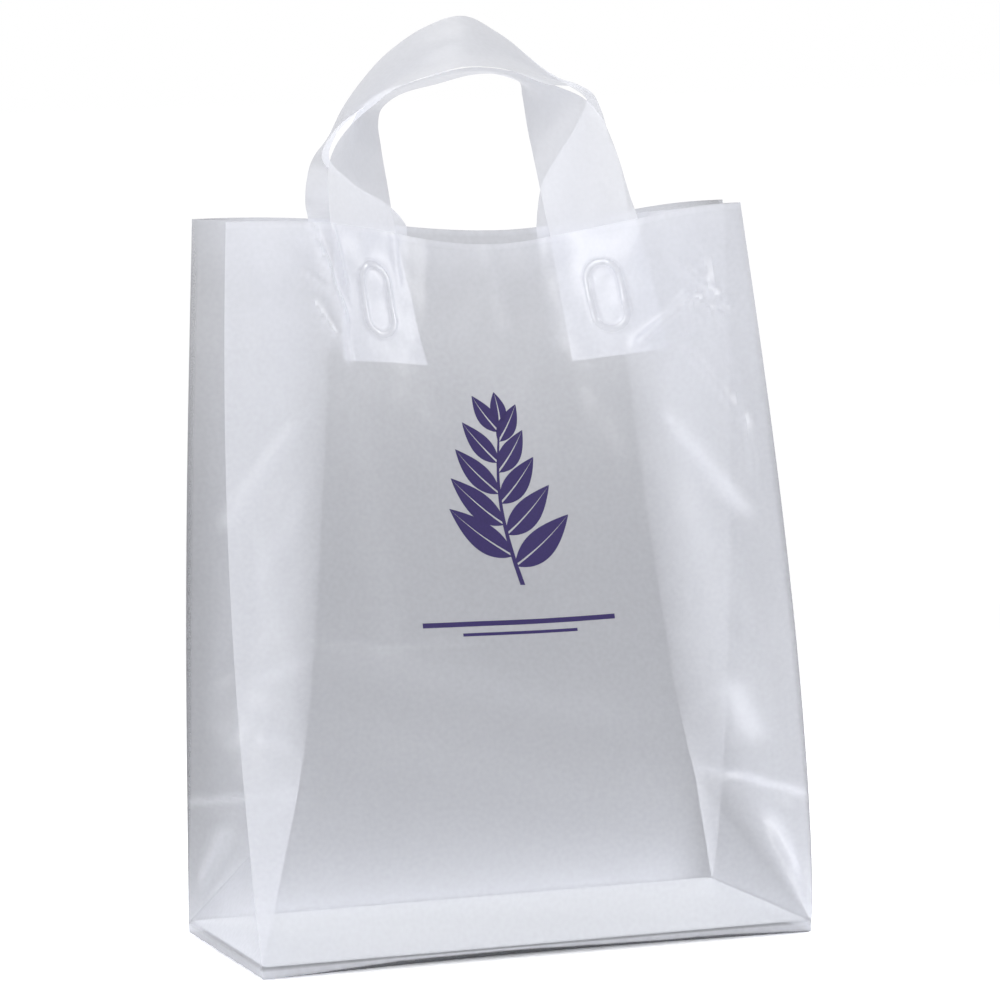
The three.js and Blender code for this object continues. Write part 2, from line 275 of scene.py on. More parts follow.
class Nodes:
    """The node tree of one material or world, empty but for its output."""

    def __init__(self, tree: bpy.types.NodeTree, output: str) -> None:
        """Clears tree and gives it an output node of the type named by output."""
        self.tree = tree
        tree.nodes.clear()
        self.output = tree.nodes.new(output)

    def add(
        self, kind: str, settings: dict[str, Any], inputs: dict[Any, Any], out: Any = 0
    ) -> Wire:
        """Adds a node.

        Args:
            kind: the node's type.
            settings: its own properties, set before its inputs.
            inputs: values or wires by socket name or number.
            out: name or number of the output that is returned.

        Returns:
            The output socket as a Wire.
        """
        node = self.tree.nodes.new(kind)
        for label, value in settings.items():
            setattr(node, label, value)
        for label, value in inputs.items():
            if isinstance(value, Wire):
                self.tree.links.new(value.socket, node.inputs[label])
            else:
                node.inputs[label].default_value = value
        return Wire(self, node.outputs[out])

    def surface(self, shader: Wire) -> None:
        """Ends the tree in this shader."""
        self.tree.links.new(shader.socket, self.output.inputs["Surface"])

    def place(self) -> Wire:
        """Object coordinates."""
        return self.add("ShaderNodeTexCoord", {}, {}, "Object")

    def cloud(
        self, scale: float, detail: float, roughness: float = 0.5, stretch: float = 1
    ) -> Wire:
        """A noise of about 0 to 1, scale in cells a metre, squeezed stretch times along Y."""
        place = self.place()
        if stretch != 1:
            place = self.add("ShaderNodeMapping", {}, {"Vector": place, "Scale": (1, stretch, 1)})
        values = {"Vector": place, "Scale": scale, "Detail": detail, "Roughness": roughness}
        return self.add("ShaderNodeTexNoise", {}, values)

    def value(self, name: str) -> Wire:
        """The mesh's own attribute of this name."""
        return self.add("ShaderNodeAttribute", {"attribute_name": name}, {}, "Fac")

    def bump(self, strength: float, depth: float, height: Wire) -> Wire:
        """The normal of an unevenness depth metres deep."""
        values = {"Strength": strength, "Distance": depth, "Height": height}
        return self.add("ShaderNodeBump", {}, values)

    def body(self, colour: Any, roughness: Wire, normal: Wire, **values: float) -> Wire:
        """A Principled shader; values are for sockets named with _ for a blank."""
        plain = {label.replace("_", " "): value for label, value in values.items()}
        plain |= {"Base Color": colour, "Roughness": roughness, "Normal": normal}
        return self.add("ShaderNodeBsdfPrincipled", {}, plain)

    def blend(self, share: Any, first: Wire, second: Wire) -> Wire:
        """A Mix Shader: first where share is 0, second where it is 1."""
        return self.add("ShaderNodeMixShader", {}, {0: share, 1: first, 2: second})

    def tint(self, share: Any, first: tuple[float, ...], second: tuple[float, ...]) -> Wire:
        """A colour between two, by share."""
        node = self.tree.nodes.new("ShaderNodeMix")
        node.data_type = "RGBA"
        self.tree.links.new(share.socket, node.inputs[0])
        node.inputs[6].default_value = (*first, 1)
        node.inputs[7].default_value = (*second, 1)
        return Wire(self, node.outputs[2])


def material(name: str) -> tuple[Material, Nodes]:
    """A new material of this name and its empty node tree."""
    made = bpy.data.materials.new(name)
    made.use_nodes = True
    return made, Nodes(made.node_tree, "ShaderNodeOutputMaterial")


@dataclass(frozen=True)
class FilmFinish:
    """Blown film: part of each point is clear, the rest scatters light back and through.

    coverage is the scattering part where the point attribute "fullness" is 1, through the
    share of that part which lets light through to the other side, cloud how much the
    coverage drifts, and grain the depth in metres of the fine unevenness.
    """

    name: str
    colour: tuple[float, float, float]
    coverage: float
    through: float
    roughness: float
    cloud: float
    grain: float
    grain_scale: float
    shine: float
    ior: float

    def make(self) -> Material:
        """Builds the material."""
        made, nodes = material(self.name)
        colour = (*self.colour, 1)
        fine = nodes.cloud(self.grain_scale, 0)
        bump = nodes.bump(1.0, self.grain, fine)
        rough = fine * ROUGHNESS_DRIFT + (self.roughness - ROUGHNESS_DRIFT / 2)
        rough = rough * (1 - nodes.value("melt") * MELT_GLOSS)
        body = nodes.body(colour, rough, bump, Specular_IOR_Level=self.shine, IOR=self.ior)
        glow = nodes.add("ShaderNodeBsdfTranslucent", {}, {"Color": colour, "Normal": bump})
        clear = nodes.add("ShaderNodeBsdfTransparent", {}, {"Color": (1, 1, 1, 1)})
        drift = fine * (self.coverage * self.cloud) + self.coverage * (1 - self.cloud / 2)
        scatter = nodes.blend(self.through, body, glow)
        nodes.surface(nodes.blend(nodes.value("fullness") * drift, clear, scatter))
        return made


@dataclass(frozen=True)
class InkFinish:
    """Printed ink on the film, a little uneven, with the film's own soft gloss."""

    name: str
    colour: tuple[float, float, float]
    worn: tuple[float, float, float]
    roughness: float

    def make(self) -> Material:
        """Builds the material."""
        made, nodes = material(self.name)
        spread = nodes.cloud(900, 3).ramp(0.35, 0.75)
        bump = nodes.bump(0.5, 0.00005, nodes.cloud(1500, 2))
        tint = nodes.tint(spread, self.colour, self.worn)
        nodes.surface(nodes.body(tint, spread * 0.1 + self.roughness, bump))
        return made


@dataclass(frozen=True)
class CardFinish:
    """White board with short pressed fibres."""

    name: str
    colour: tuple[float, float, float]
    fibre: tuple[float, float, float]
    roughness: float

    def make(self) -> Material:
        """Builds the material."""
        made, nodes = material(self.name)
        fibres = nodes.cloud(420, 5, 0.65, 3.5)
        tint = nodes.tint(fibres.ramp(0.3, 0.7), self.colour, self.fibre)
        rough = fibres * 0.15 + self.roughness
        nodes.surface(nodes.body(tint, rough, nodes.bump(0.6, 0.0001, fibres)))
        return made


# ---- the film's shape


@dataclass(frozen=True)
class Edge:
    """One of the four upright edges of the bag, a curve in the film's own height.

    With share = film / 325 it stands at x = side * (127 + bulge * sin(pi * share^0.6)
    - inset * share^2.2), y = face * half + sway * sin(pi * share), where half goes from
    63.5 at the foot to depth at the mouth by (1 - share)^closing, and z = 5 + 0.9865 * film.
    """

    side: int
    face: int
    inset: float
    bulge: float
    depth: float
    sway: float
    closing: float

    def at(self, film: Array) -> Array:
        """The edge's points at these film heights."""
        share = np.clip(film / PANEL_HEIGHT, 0, 1)
        lean = np.sin(np.pi * share)
        bulge = self.bulge * np.sin(np.pi * share**0.6)
        reach = PANEL_WIDTH / 2 + bulge - self.inset * share**2.2
        half = mix(self.depth, HALF_GUSSET, (1 - share) ** self.closing)
        forth = self.face * half + self.sway * lean
        return np.stack([self.side * reach, forth, CREASE_HEIGHT + STANDING_SHARE * film], -1)


FRONT_LEFT = Edge(-1, -1, 4, 0, 30, 11, 1.9)
FRONT_RIGHT = Edge(1, -1, 14, 3.5, 33.5, 0, 1.3)
BACK_RIGHT = Edge(1, 1, 5, 3.5, 13, 0, 1.3)
BACK_LEFT = Edge(-1, 1, 4, 0, 28.5, 11, 1.9)


@dataclass(frozen=True)
class Panel:
    """The front (face -1) or back (face 1) of the bag, pinched towards the middle at its mouth.

    painted_glow_gain says how much denser, so brighter, the film is made at its foot, as painted
    glow of light bounced off the board, painted_rim_light how much in rim_span under its mouth, as
    painted light, and side_drop how much thinner at its sides.
    """

    face: int
    left: Edge
    right: Edge
    depth: float
    left_wall: tuple[float, float]
    right_wall: tuple[float, float]
    dip: float
    folds: tuple[Fold, ...]
    seed: int
    painted_glow_gain: float
    painted_rim_light: float
    rim_span: tuple[float, float]
    side_drop: float
    side_fade: float = 14.0
    pinch_foot: float = 0.38
    pinch_power: float = 1.55
    belly: float = 4.0

    def plain(self, across: Array, film: Array) -> Array:
        """The panel without its wrinkles.

        It runs straight between its two edges, moves in by depth * walls * growth at the
        pinch, which grows from pinch_foot of the height to the mouth, out by a belly, and
        its rim dips by dip * share^3 * hump^1.2.

        Args:
            across: 0 at the left edge to 1 at the right one.
            film: height along the film in millimetres.

        Returns:
            The points in millimetres.
        """
        across, film = np.broadcast_arrays(across, film)
        share = film / PANEL_HEIGHT
        growth = (share - self.pinch_foot) / (1 - self.pinch_foot)
        growth = np.clip(growth, 0, 1) ** self.pinch_power
        walls = smoothstep(across, *self.left_wall) * smoothstep(1 - across, *self.right_wall)
        belly = self.belly * np.sin(np.pi * np.minimum(1, share * 1.3)) * hump(across)
        point = mix(self.left.at(film), self.right.at(film), across[..., None])
        point[..., 1] -= self.face * (self.depth * growth * walls - belly)
        point[..., 2] -= self.dip * share**3 * hump(np.clip(across, 0, 1) ** 1.2) ** 1.2
        return point

    def inward(self, across: Array, film: Array) -> Array:
        """Unit vectors square to the plain panel, towards the bag's inside."""
        step = 0.002
        wide = self.plain(across + step, film) - self.plain(across - step, film)
        tall = self.plain(across, film + 0.5) - self.plain(across, film - 0.5)
        return unit(np.cross(wide, tall)) * self.face

    def relief(self, across: Array, film: Array) -> Array:
        """How far the wrinkled film stands outside the plain panel, in millimetres.

        Long ripples over the whole panel and shorter ones towards the mouth, with each fold
        added, and all of it fading to nothing at the panel's two edges and at its foot.
        """
        across, film = np.broadcast_arrays(across, film)
        x = (across - 0.5) * PANEL_WIDTH
        z = CREASE_HEIGHT + STANDING_SHARE * film
        share = film / PANEL_HEIGHT
        slow = ripples(x, z * 0.55, self.seed, 7, 45, 130) * 0.75
        quick = ripples(x, z, self.seed + 1, 9, 16, 42) * (0.12 + 0.22 * share**2)
        tiny = ripples(x, z, self.seed + 2, 9, 5, 12) * 0.03
        made = slow + quick + tiny + sum(fold.rise(x, z) for fold in self.folds)
        mask = smoothstep(across, 0, 0.045) * smoothstep(1 - across, 0, 0.045)
        return made * mask * smoothstep(film, 0, 22)

    def crease_whitening_and_highlight(self, across: Array, film: Array) -> Array:
        """The sum of the ridges' rises, in millimetres, by which the film is made denser on them:
        partly creased film whitening, partly a painted highlight.
        """
        across, film = np.broadcast_arrays(across, film)
        x, z = (across - 0.5) * PANEL_WIDTH, CREASE_HEIGHT + STANDING_SHARE * film
        return sum(np.maximum(fold.rise(x, z), 0) for fold in self.folds)

    def at(self, across: Array, film: Array, distance: float | Array = 0.0) -> Array:
        """The wrinkled panel, distance millimetres to its inside."""
        away = np.asarray(distance - self.relief(across, film))
        return self.plain(across, film) + self.inward(across, film) * away[..., None]


FRONT_FOLDS = folds(
    (-86, 325, -79, 306, 2.3, 2.3),
    (-80, 309, -71, 286, 2.4, 2.2),
    (-74, 320, -69, 300, 1.8, 1.9),
    (-73, 292, -69, 268, 1.6, 2.2),
    (-94, 320, -86, 296, -1.2, 3.2),
    (-85, 290, -75, 277, 1.6, 1.7, 3),
    (-88, 303, -79, 297, 1.1, 1.7, 3),
    (-90, 141, -61, 137, 0.55, 1.8),
    (-61, 137, -21, 138.5, 0.4, 1.8),
    (-39, 324, -38, 306, 0.9, 2.2),
    (-18, 322, -22, 290, -0.6, 4.0),
    (12, 320, 14, 286, 0.6, 3.6),
    (73, 270, 94, 285, 2.0, 2.6, 4),
    (94, 285, 93, 271, 1.4, 2.2, 4),
    (96, 298, 112, 282, 2.0, 2.4),
    (92, 261, 113, 229, 1.5, 2.8),
    (98, 286, 104, 280, 1.8, 1.6, 3),
    (112, 262, 116, 210, 1.4, 2.2, 10),
    (110, 300, 113, 237, -1.4, 2.2),
    (104, 306, 107, 250, 0.8, 2.0),
    (101, 160, 113, 60, 0.7, 5.5, 18),
    (-112, 180, -103, 96, 0.6, 6.0, 18),
    (-60, 96, 44, 70, 0.45, 12, 30),
    (56, 210, 74, 120, -0.5, 9, 26),
    (-66, 250, -58, 150, 0.45, 9, 26),
)
BACK_FOLDS = folds(
    (-96, 318, -84, 262, 1.0, 3.0),
    (-20, 322, -12, 280, -0.8, 3.4),
    (62, 322, 84, 266, 1.1, 3.2),
    (98, 250, 112, 170, 0.8, 4.4, 14),
    (-104, 200, -112, 110, 0.8, 5.0, 16),
    (-40, 120, 60, 92, 0.6, 9, 26),
    (30, 240, 44, 150, -0.6, 8, 24),
)
FRONT = Panel(
    -1, FRONT_LEFT, FRONT_RIGHT, 35, (0.12, 0.45), (0.13, 0.36), 15.5, FRONT_FOLDS, 11,
    0.30, 0.40, (190, 300), 0.0,
)
BACK = Panel(
    1, BACK_LEFT, BACK_RIGHT, 7, (0.05, 0.5), (0.05, 0.5), 9.8, BACK_FOLDS, 23,
    1.9, 0.85, (292, 325), 0.55,
)


# Across from the gusset's middle, and up the film.
GUSSET_FOLDS = folds(
    (22, 205, 46, 168, 2.2, 3.4),
    (18, 172, 44, 140, -1.8, 3.8),
    (20, 128, 50, 122, 2.8, 3.0),
    (24, 92, 46, 96, 2.4, 3.6),
    (-22, 230, -46, 190, 2.2, 3.6),
    (-20, 150, -48, 118, -1.9, 4.0),
    (-58, 58, -8, 68, 2.4, 2.4),
    (-60, 50, -10, 59, -1.4, 3.0),
    (-40, 26, -35, 44, 2.0, 7.0),
    (-38, 88, -33, 104, 2.2, 7.0),
    (8, 66, 56, 60, 2.2, 2.6),
)


@dataclass(frozen=True)
class Gusset:
    """A folded side of the bag between two of its edges, seen from outside.

    Its middle crease keeps 63.5 mm of film to either edge, so it comes in as the edges come
    together. Below 63.5 mm it opens into the triangle of a square bottom, whose apex is the
    foot of the crease. softness is how round the crease is, soft_span the height over which
    it becomes so, hidden the half (-1 or 1, or 0 for none) that fades towards its edge, and
    thin_span the share of a half that looks thinner beside the crease.
    """

    side: int
    first: Edge
    second: Edge
    seed: int
    hidden: int
    first_haze: float = 1.0
    second_haze: float = 1.0
    softness: float = 0.22
    soft_span: float = 40.0
    swell: float = 1.6
    painted_glow_gain: float = 0.8
    thin_span: float = 0.55

    def crease(self, film: Array, drop: float) -> Array:
        """The folded-in middle, drop millimetres below its edges."""
        one, two = self.first.at(film), self.second.at(film)
        half = np.linalg.norm(one - two, axis=-1) / 2
        inwards = np.sqrt(np.maximum(HALF_GUSSET**2 - half**2 - drop**2, 0))
        point = (one + two) / 2
        point[..., 0] -= self.side * inwards
        point[..., 2] -= drop
        return point

    def drop(self) -> float:
        """The drop at which the apex is 63.5 * sqrt 2 mm from the foot of the first edge."""
        foot = self.first.at(np.array(0.0))
        low, high = 0.0, 60.0
        for _ in range(48):
            middle = (low + high) / 2
            apex = self.crease(np.array(HALF_GUSSET), middle)
            if np.linalg.norm(apex - foot) > HALF_GUSSET * math.sqrt(2):
                low = middle
            else:
                high = middle
        return (low + high) / 2

    def grids(self, heights: Array, columns: int, facet: int) -> list[Grid]:
        """The gusset as three grids: its two halves and the triangle below its apex.

        A half runs straight from its edge to the fold line, which below the apex climbs from
        the edge's foot; above it the two halves meet in a soft crease,
        h = (sqrt(s^2 + e^2) - e) / (sqrt(1 + e^2) - e).

        Args:
            heights: film heights, among them 63.5.
            columns: points across half the gusset.
            facet: points across the triangle.

        Returns:
            The grids, facing outwards.
        """
        drop = self.drop()
        apex = self.crease(np.array(HALF_GUSSET), drop)
        low = heights[heights <= HALF_GUSSET + 1e-9]
        high = heights[heights > HALF_GUSSET + 1e-9]
        share = (low / HALF_GUSSET)[:, None]
        soft = self.softness * self.risen(high)[:, None] + 1e-6
        one, two = self.first.at(high)[:, None], self.second.at(high)[:, None]
        inner = self.crease(high, drop)[:, None]
        made, folds = [], []
        for edge, ends in ((self.first, (-1, 0)), (self.second, (0, 1))):
            s = np.linspace(*ends, columns)[None, :]
            fold = mix(edge.at(np.array(0.0)), apex, share)
            folds.append(fold)
            below = mix(fold[:, None], edge.at(low)[:, None], np.abs(s)[..., None])
            bend = (np.sqrt(s**2 + soft**2) - soft) / (np.sqrt(1 + soft**2) - soft)
            above = inner + ((one + two) / 2 - inner) * bend[..., None]
            above = above + (two - one) / 2 * s[..., None]
            points = np.concatenate([below, above])
            points = points + self.wrinkles(points, s, heights[:, None])
            made.append(Grid(points, {"fullness": self.density(s, heights)}))
        step = np.linspace(0, 1, facet)[None, :, None]
        flat = mix(folds[0][:, None], folds[1][:, None], step)
        swell = hump(step[..., 0]) * hump(share) * self.swell
        flat = flat + swell[..., None] * np.array([self.side * 0.7, 0, 0.7])
        # The triangle is denser, so brighter, towards its foot: painted glow of light bounced off
        # the board.
        density_and_painted_light = painted_board_glow(low, self.painted_glow_gain)[:, None] * 1.15 + 0 * step[..., 0]
        made.append(Grid(flat, {"fullness": density_and_painted_light}))
        return made

    def risen(self, film: Array) -> Array:
        """0 up to the apex and 1 from soft_span above it."""
        return smoothstep(film, HALF_GUSSET, HALF_GUSSET + self.soft_span)

    def wrinkles(self, points: Array, s: Array, film: Array) -> Array:
        """Ripples square to each half of the folded part, none at its edges or its middle."""
        wide = np.gradient(points, axis=1)
        tall = np.gradient(points, axis=0)
        normal = unit(np.cross(wide, tall))
        y, z = s * HALF_GUSSET + np.zeros_like(film), film + np.zeros_like(s)
        slow = ripples(y, z * 0.8, self.seed, 7, 26, 70) * 0.95
        quick = ripples(y, z, self.seed + 1, 8, 9, 24) * 0.16
        folds = sum(fold.rise(y, z) for fold in GUSSET_FOLDS)
        mask = hump(np.abs(s)) ** 0.6 * smoothstep(film, 0, 30)
        return normal * ((slow + quick + folds) * mask)[..., None]

    def density(self, s: Array, film: Array) -> Array:
        """The film's density: denser, so brighter, towards the foot as painted glow of light
        bounced off the board, denser on the ridges partly as creased film whitening and partly as
        a painted highlight, each half by its own share, thin at the crease.

        Args:
            s: place across, -1 to 0 on the first half and 0 to 1 on the second.
            film: height of the rows.

        Returns:
            A value per point.
        """
        density_and_painted_light = painted_board_glow(film, self.painted_glow_gain)[:, None] + 0 * s
        y, z = s * HALF_GUSSET + 0 * density_and_painted_light, film[:, None] + 0 * density_and_painted_light
        # Denser on the ridges: partly creased film whitening, partly a painted highlight.
        density_and_painted_light = density_and_painted_light + 0.22 * sum(np.maximum(fold.rise(y, z), 0) for fold in GUSSET_FOLDS)
        half = np.where(s < 0, self.first_haze, self.second_haze)
        near = 1 - smoothstep(np.abs(s), 0.0, self.thin_span)
        far = (s * self.hidden > 0) * np.exp(-(((1 - np.abs(s)) / 0.22) ** 2))
        thin = 0.8 * near * self.risen(film)[:, None]
        return density_and_painted_light * mix(1.0, half, 1 - near) * (1 - 0.5 * far) - thin


RIGHT_GUSSET = Gusset(1, FRONT_RIGHT, BACK_RIGHT, 37, 1, 1.9, 0.4)
LEFT_GUSSET = Gusset(-1, BACK_LEFT, FRONT_LEFT, 53, 0)


@dataclass(frozen=True)
class Leg:
    """One end of a handle strip, welded to the inside of a panel and leaning by tilt degrees."""

    share: float
    sign: int
    tilt: float


@dataclass(frozen=True)
class Station:
    """A place along a handle's loop: across and up as shares of the loop, back in millimetres,
    turn and tip of the strip's width in degrees, and cup, how deep the width is curled."""

    across: float
    back: float
    up: float
    turn: float
    tip: float
    cup: float


def stations(*rows: tuple[float, ...]) -> tuple[Station, ...]:
    """Rows of six numbers as stations."""
    return tuple(Station(*row) for row in rows)


@dataclass(frozen=True)
class Strip:
    """A handle: a loop of film strip with both ends welded inside one panel.

    rise is the loop's height above the mouth, weld how far its ends reach below it, gap the
    air between film and strip, and shown how full its welded ends look through the film.
    """

    name: str
    panel: Panel
    legs: tuple[Leg, Leg]
    rise: float
    path: tuple[Station, ...]
    width: float = 44.5
    weld: float = 62.0
    gap: float = 0.75
    ring_centre: float = 33.0
    ring_radius: float = 7.8
    ring_straight: float = 8.5
    weld_half: float = 2.1
    weld_rise: float = 0.9
    key_depth: float = 4.65
    end_span: float = 14.0
    columns: int = 41
    loop_rows: int = 300
    patch_rows: int = 64
    shown: float = 1.0

    def stretch(self, leg: Leg, film: Array) -> Array:
        """The panel's width in millimetres, as measured where an end is welded."""
        middle = np.full_like(np.asarray(film, dtype=float), leg.share)
        wide = self.panel.plain(middle + 0.02, film) - self.panel.plain(middle - 0.02, film)
        return np.linalg.norm(wide, axis=-1) / 0.04

    def leg_points(self, leg: Leg, aside: Array, deep: Array) -> Array:
        """Points of a welded end.

        Args:
            leg: which end.
            aside: 0 at the end's outer edge to 1 at its inner one.
            deep: millimetres below the mouth.

        Returns:
            The points, the wall's thickness and a gap inside the panel.
        """
        film = PANEL_HEIGHT - deep
        lean = deep * math.tan(math.radians(leg.tilt))
        shift = leg.sign * (aside - 0.5) * self.width + lean
        across = leg.share + shift / self.stretch(leg, film)
        mouth = smoothstep(deep, 0.0, 9.0)
        away = FILM_WALL + self.gap + 0.25 - 0.15 * mouth
        return self.panel.at(across, film, away)

    def station_points(self, station: Station, aside: Array) -> Array:
        """Points across the strip at a station.

        The width runs along (cos turn, sin turn) tipped up by tip, and is curled by
        cup * (1 - 4 o^2) square to it, the chord being shorter by 8/3 cup^2 / width.
        """
        ends = [self.leg_points(leg, np.array(0.5), np.array(0.0)) for leg in self.legs]
        x = mix(ends[0][0], ends[1][0], station.across)
        z = CREASE_HEIGHT + STANDING_SHARE * PANEL_HEIGHT + station.up * self.rise
        centre = np.array([x, station.back, z])
        turn, tip = math.radians(station.turn), math.radians(station.tip)
        along = np.array([math.cos(turn), math.sin(turn), math.tan(tip)]) * math.cos(tip)
        curl = np.array([-math.sin(turn), math.cos(turn), 0.0]) * station.cup
        chord = self.width - 8 / 3 * station.cup**2 / self.width
        offset = (aside - 0.5)[:, None]
        return centre + along * offset * chord + curl * (1 - 4 * offset**2)

    def loop_points(self, columns: int, rows: int) -> Array:
        """The free loop: a centripetal Catmull-Rom curve through the stations, for each column.

        Args:
            columns: points across the strip.
            rows: points along it.

        Returns:
            The points (rows, columns, 3), from the left mouth to the right one.
        """
        aside = np.linspace(0, 1, columns)
        left, right = self.legs
        deep, mouth = np.full(columns, self.key_depth), np.zeros(columns)
        keys = [self.leg_points(left, aside, deep), self.leg_points(left, aside, mouth)]
        keys += [self.station_points(s, aside) for s in self.path]
        keys += [self.leg_points(right, aside, mouth), self.leg_points(right, aside, deep)]
        keys = np.stack(keys)
        spans = len(keys) - 3
        lengths = np.linalg.norm(np.diff(keys, axis=0), axis=-1)
        steps = np.sqrt(lengths)
        lengths = lengths.mean(1)[1:-1]
        travel = np.concatenate([[0], np.cumsum(lengths)]) / lengths.sum()
        place = np.interp(np.linspace(0, 1, rows), travel, np.arange(spans + 1))
        span = np.minimum(place.astype(int), spans - 1)
        t = (place - span)[:, None, None]
        p0, p1, p2, p3 = (keys[span + k] for k in range(4))
        d0, d1, d2 = (steps[span + k][..., None] for k in range(3))
        m1 = ((p1 - p0) / d0 - (p2 - p0) / (d0 + d1) + (p2 - p1) / d1) * d1
        m2 = ((p2 - p1) / d1 - (p3 - p1) / (d1 + d2) + (p3 - p2) / d2) * d1
        ease = 3 * t**2 - 2 * t**3
        return mix(p1, p2, ease) + (t**3 - 2 * t**2 + t) * m1 + (t**3 - t**2) * m2

    def ring(self, aside: Array, deep: Array) -> Array:
        """Distance from the weld's stadium-shaped line, in millimetres, negative inside it."""
        x = (aside - 0.5) * self.width
        y = np.maximum(np.abs(deep - self.ring_centre) - self.ring_straight, 0)
        return np.hypot(x, y) - self.ring_radius

    def bead(self, across: Array, film: Array) -> Array:
        """Both weld lines as seen on the panel: 1 on the line, falling off to either side."""
        deep = PANEL_HEIGHT - film
        made = 0
        for leg in self.legs:
            lean = deep * math.tan(math.radians(leg.tilt))
            shift = (across - leg.share) * self.stretch(leg, film) - lean
            aside = 0.5 + leg.sign * shift / self.width
            made = made + self.weld_band(self.ring(aside, deep))
        return made

    def weld_band(self, ring: Array) -> Array:
        """The weld's rounded rib: 1 - (distance / half width)^2, and 0 outside it."""
        return np.maximum(0, 1 - (ring / self.weld_half) ** 2)

    def patch(self, leg: Leg, columns: int, rows: int) -> Grid:
        """A welded end below the mouth, pressed flatter in its weld line and puckered round it."""
        aside = np.linspace(0, 1, columns)[None, :] + np.zeros((rows, 1))
        deep = np.linspace(0, self.weld, rows)[:, None] + np.zeros((1, columns))
        points = self.leg_points(leg, aside, deep)
        ring = self.ring(aside, deep)
        line = self.weld_band(ring)
        inside = smoothstep(-ring, 0.5, 3.0)
        normal = unit(np.cross(np.gradient(points, axis=1), np.gradient(points, axis=0)))
        normal = normal * np.sign(normal[..., 1:2]) * self.panel.face
        pucker = ripples(aside * self.width, deep, int(100 * leg.share), 10, 4, 13)
        pucker = pucker * (0.30 * line + 0.14 * inside + 0.05)
        lift = pucker + self.weld_rise * line
        mask = smoothstep(deep, 0, 6) * np.minimum(1, 4 * hump(aside))
        points = points + normal * (lift * mask)[..., None]
        fullness = 1 - 0.28 * line + 0.08 * inside
        border = np.minimum(np.minimum(aside, 1 - aside) * self.width, self.weld - deep)
        faint = self.shown * mix(0.35, 1, smoothstep(border, 0, 9))
        faint = mix(1, faint, smoothstep(deep, 0, self.end_span) * (self.shown < 1))
        return Grid(points, {"fullness": fullness * faint, "melt": line}, leg.sign > 0)

    def build(self) -> Piece:
        """The whole strip as one sheet, with long soft waves along its free loop."""
        columns, rows = self.columns, self.loop_rows
        loop = self.loop_points(columns, rows)
        wide, tall = np.gradient(loop, axis=1), np.gradient(loop, axis=0)
        normal = unit(np.cross(wide, tall))
        u = np.linspace(0, self.width, columns)[None, :] + np.zeros((rows, 1))
        steps = np.linalg.norm(np.diff(loop[:, columns // 2], axis=0), axis=-1)
        v = np.cumsum(np.concatenate([[0], steps]))[:, None] + np.zeros((1, columns))
        wave = ripples(u, v * 0.5, len(self.path), 7, 14, 40) * 0.28
        wave += ripples(u * 0.6, v, len(self.path) + 3, 6, 20, 60) * 0.25
        ends = smoothstep(v, 0, self.end_span) * smoothstep(v[-1, 0] - v, 0, self.end_span)
        loop = loop + normal * (wave * ends)[..., None]
        grids = [Grid(loop, {"fullness": np.ones((rows, columns))})]
        grids += [self.patch(leg, columns, self.patch_rows) for leg in self.legs]
        return mesh_object(self.name, grids, sharp=180)


FRONT_STRIP = Strip(
    "front_strip",
    FRONT,
    (Leg(0.286, 1, 6), Leg(0.736, -1, 3)),
    66,
    stations(
        (-0.02, -10, 0.28, 39, 0, 1),
        (-0.01, -10, 0.45, 46, 0, 2),
        (0.025, -8, 0.6, 57, 0, 4),
        (0.08, -5.5, 0.7, 66, -1, 6),
        (0.175, -4, 0.8, 73, -5, 6),
        (0.33, -3, 0.88, 74, -6, 5),
        (0.51, -1, 0.93, 75, -5, 4),
        (0.69, -0.5, 0.91, 82, -2, 4),
        (0.805, -1.5, 0.83, 96, 4, 4),
        (0.855, -5, 0.74, 110, 3, 3),
        (0.893, -7, 0.61, 120, 1, 3),
        (0.917, -8, 0.47, 125, 0, 3),
        (0.945, -9, 0.27, 130, 0, 1),
    ),
)
BACK_STRIP = Strip(
    "back_strip",
    BACK,
    (Leg(0.3, 1, 5), Leg(0.722, -1, 5)),
    75,
    stations(
        (-0.05, 18.5, 0.06, -38, 0, 10),
        (-0.16, 10, 0.2, -80, 0, 10),
        (-0.215, 1, 0.35, -101, 1, 5),
        (-0.165, -4, 0.48, -102, 3, 2),
        (-0.085, -8.5, 0.625, -98, -3, 2),
        (-0.005, -11, 0.735, -96, -9, 2),
        (0.11, -12.5, 0.855, -98, -19, 3),
        (0.24, -14, 0.95, -103, -28, 2),
        (0.41, -15, 1, -107, -31, 2),
        (0.555, -16, 0.94, -108, -21, 2),
        (0.76, -14, 0.78, -106, -8, 3),
        (0.9, -7.5, 0.72, -103, -2, 3),
        (1.005, 3, 0.635, -108, 0, 4),
        (1.045, 13, 0.48, -125, 0, 6),
        (1.045, 17, 0.3, -148, 0, 6),
        (1.02, 16, 0.13, -168, 0, 5),
    ),
    shown=0.4,
)


# How much of the foot's 5 mm stands upright along the front before it turns under: places
# from the left corner to the right one, and the upright share at each.
FRONT_LIP = (
    (0.0, 0.06, 0.14, 0.25, 0.35, 0.46, 0.61, 0.72, 0.84, 0.92, 1.0),
    (0.95, 0.85, 0.62, 0.3, 0.26, 0.24, 0.42, 0.5, 0.52, 0.65, 0.85),
)
# The film's density from the foot's crease, down its lip and inwards underneath: high on the lip,
# so it reads bright, as painted light, and low underneath, so the dark grey floor seen through it
# makes the dark wedge under the front, a painted shadow.
FOOT_PAINTED_LIGHT_AND_SHADOW = (2.6, 2.7, 2.7, 2.2, 0.6, 0.35, 0.35, 0.35, 0.4)


